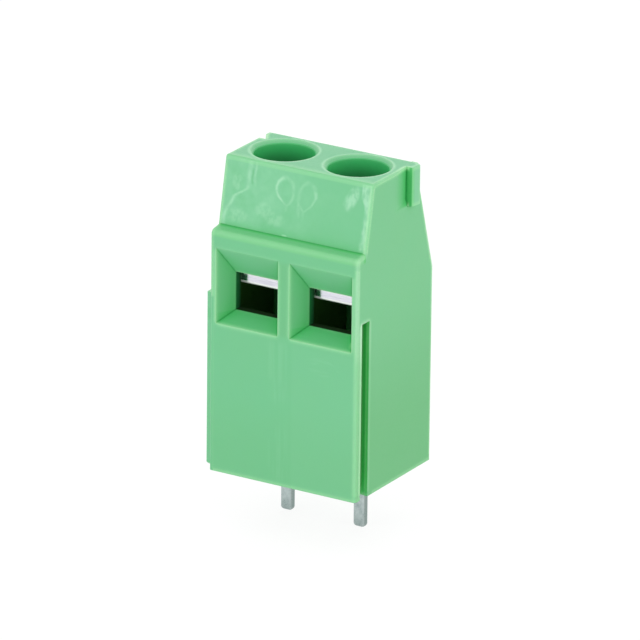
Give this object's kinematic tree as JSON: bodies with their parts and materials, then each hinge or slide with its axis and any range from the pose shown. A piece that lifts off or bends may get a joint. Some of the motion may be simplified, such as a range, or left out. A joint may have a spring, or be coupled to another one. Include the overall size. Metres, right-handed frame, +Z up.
{
  "type": "pcb screw terminal",
  "caption": "Tall two-pole screw terminal for a circuit board, with a rising clamp cage, a driver bore, a wire funnel and a solder pin for each pole.",
  "frame": {"origin": "on the board seating plane, midway between the two solder pins", "axes": "+Z up from the board towards the driver bores, wire openings face -Y, +X along the row of poles"},
  "size_m": [0.0111, 0.0086, 0.023],
  "materials": {
    "housing": "moulded green polyamide, semi-gloss",
    "terminal_bar": "tin plated",
    "clamp_cage": "bright nickel plated",
    "screw": "zinc plated"
  },
  "bodies": {
    "root": {"housing": "housing", "terminal_bar_1": "terminal_bar", "terminal_bar_2": "terminal_bar"},
    "screw_1": {"screw_1": "screw"},
    "screw_2": {"screw_2": "screw"},
    "cage_1": {"clamp_cage_1": "clamp_cage"},
    "cage_2": {"clamp_cage_2": "clamp_cage"}
  },
  "joints": [
    {"name": "screw_1_turn", "type": "hinge", "parent": "root", "child": "screw_1", "pos_m": [-0.00254, -0.00079, 0.0176], "axis": [0, 0, 1], "range_deg": [0, 1760]},
    {"name": "screw_2_turn", "type": "hinge", "parent": "root", "child": "screw_2", "pos_m": [0.00254, -0.00079, 0.0176], "axis": [0, 0, 1], "range_deg": [0, 1760]},
    {"name": "cage_1_slide", "type": "slide", "parent": "root", "child": "cage_1", "axis": [0, 0, 1], "range_m": [-0.0022, 0]},
    {"name": "cage_2_slide", "type": "slide", "parent": "root", "child": "cage_2", "axis": [0, 0, 1], "range_m": [-0.0022, 0]}
  ],
  "couplings": [
    {"joint": "screw_1_turn", "follows": "cage_1_slide", "rad_per_m": -13963},
    {"joint": "screw_2_turn", "follows": "cage_2_slide", "rad_per_m": -13963}
  ]
}
